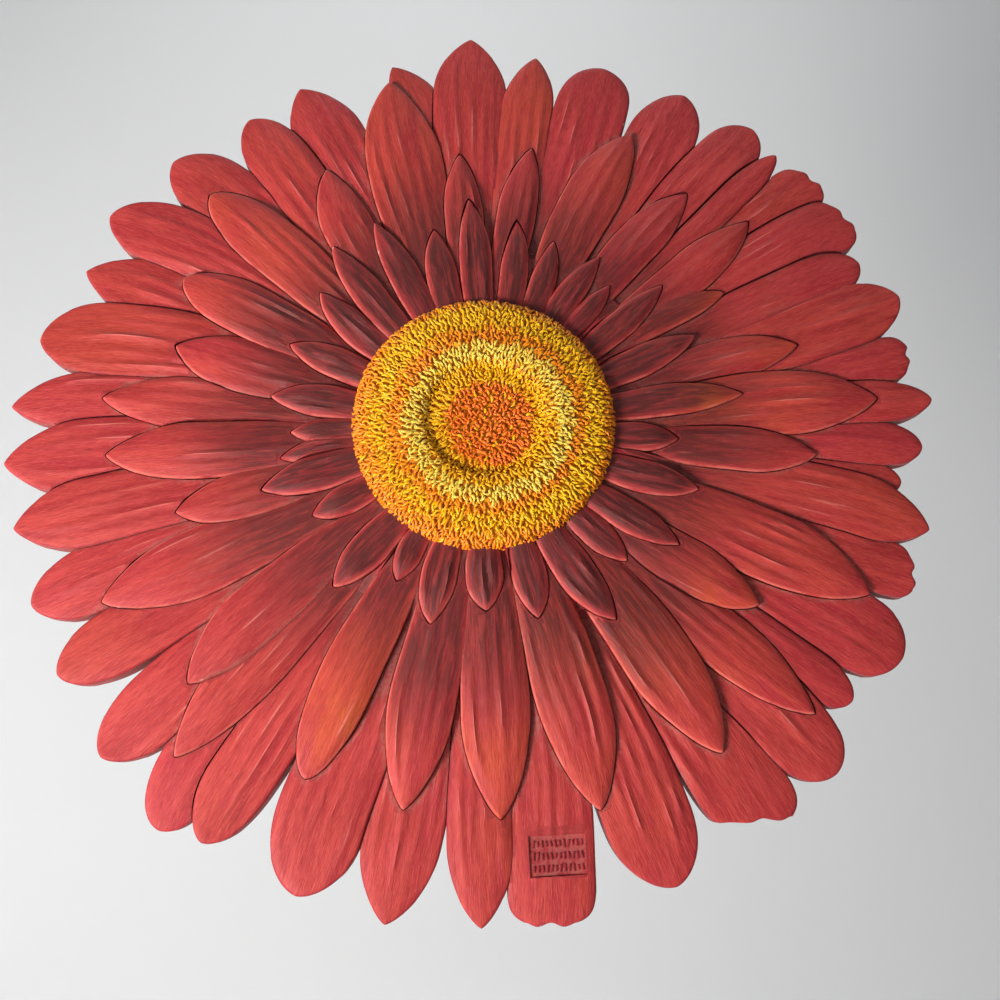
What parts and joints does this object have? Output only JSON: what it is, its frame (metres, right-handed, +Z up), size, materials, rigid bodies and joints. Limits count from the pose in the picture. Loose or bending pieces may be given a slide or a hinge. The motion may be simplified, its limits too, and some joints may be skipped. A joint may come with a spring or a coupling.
{
  "type": "gerbera daisy wall plaque",
  "caption": "Round wall plaque moulded in relief as an open daisy, with overlapping red petals round a raised yellow eye, a flat back and a keyhole to hang it by.",
  "frame": {"origin": "on the flat back that meets the wall, behind the middle of the ring of petal tips", "axes": "+X to the right as the plaque is seen, +Z up as it hangs, +Y out of the back into the wall; the flower's face looks along -Y"},
  "size_m": [0.3004, 0.0238, 0.2995],
  "materials": {
    "petal_paint": "matte red paint on the petals and yellow to orange paint on the eye, rubbed darker in the hollows"
  },
  "bodies": {
    "root": {"gerbera_plaque": "petal_paint"}
  },
  "joints": []
}
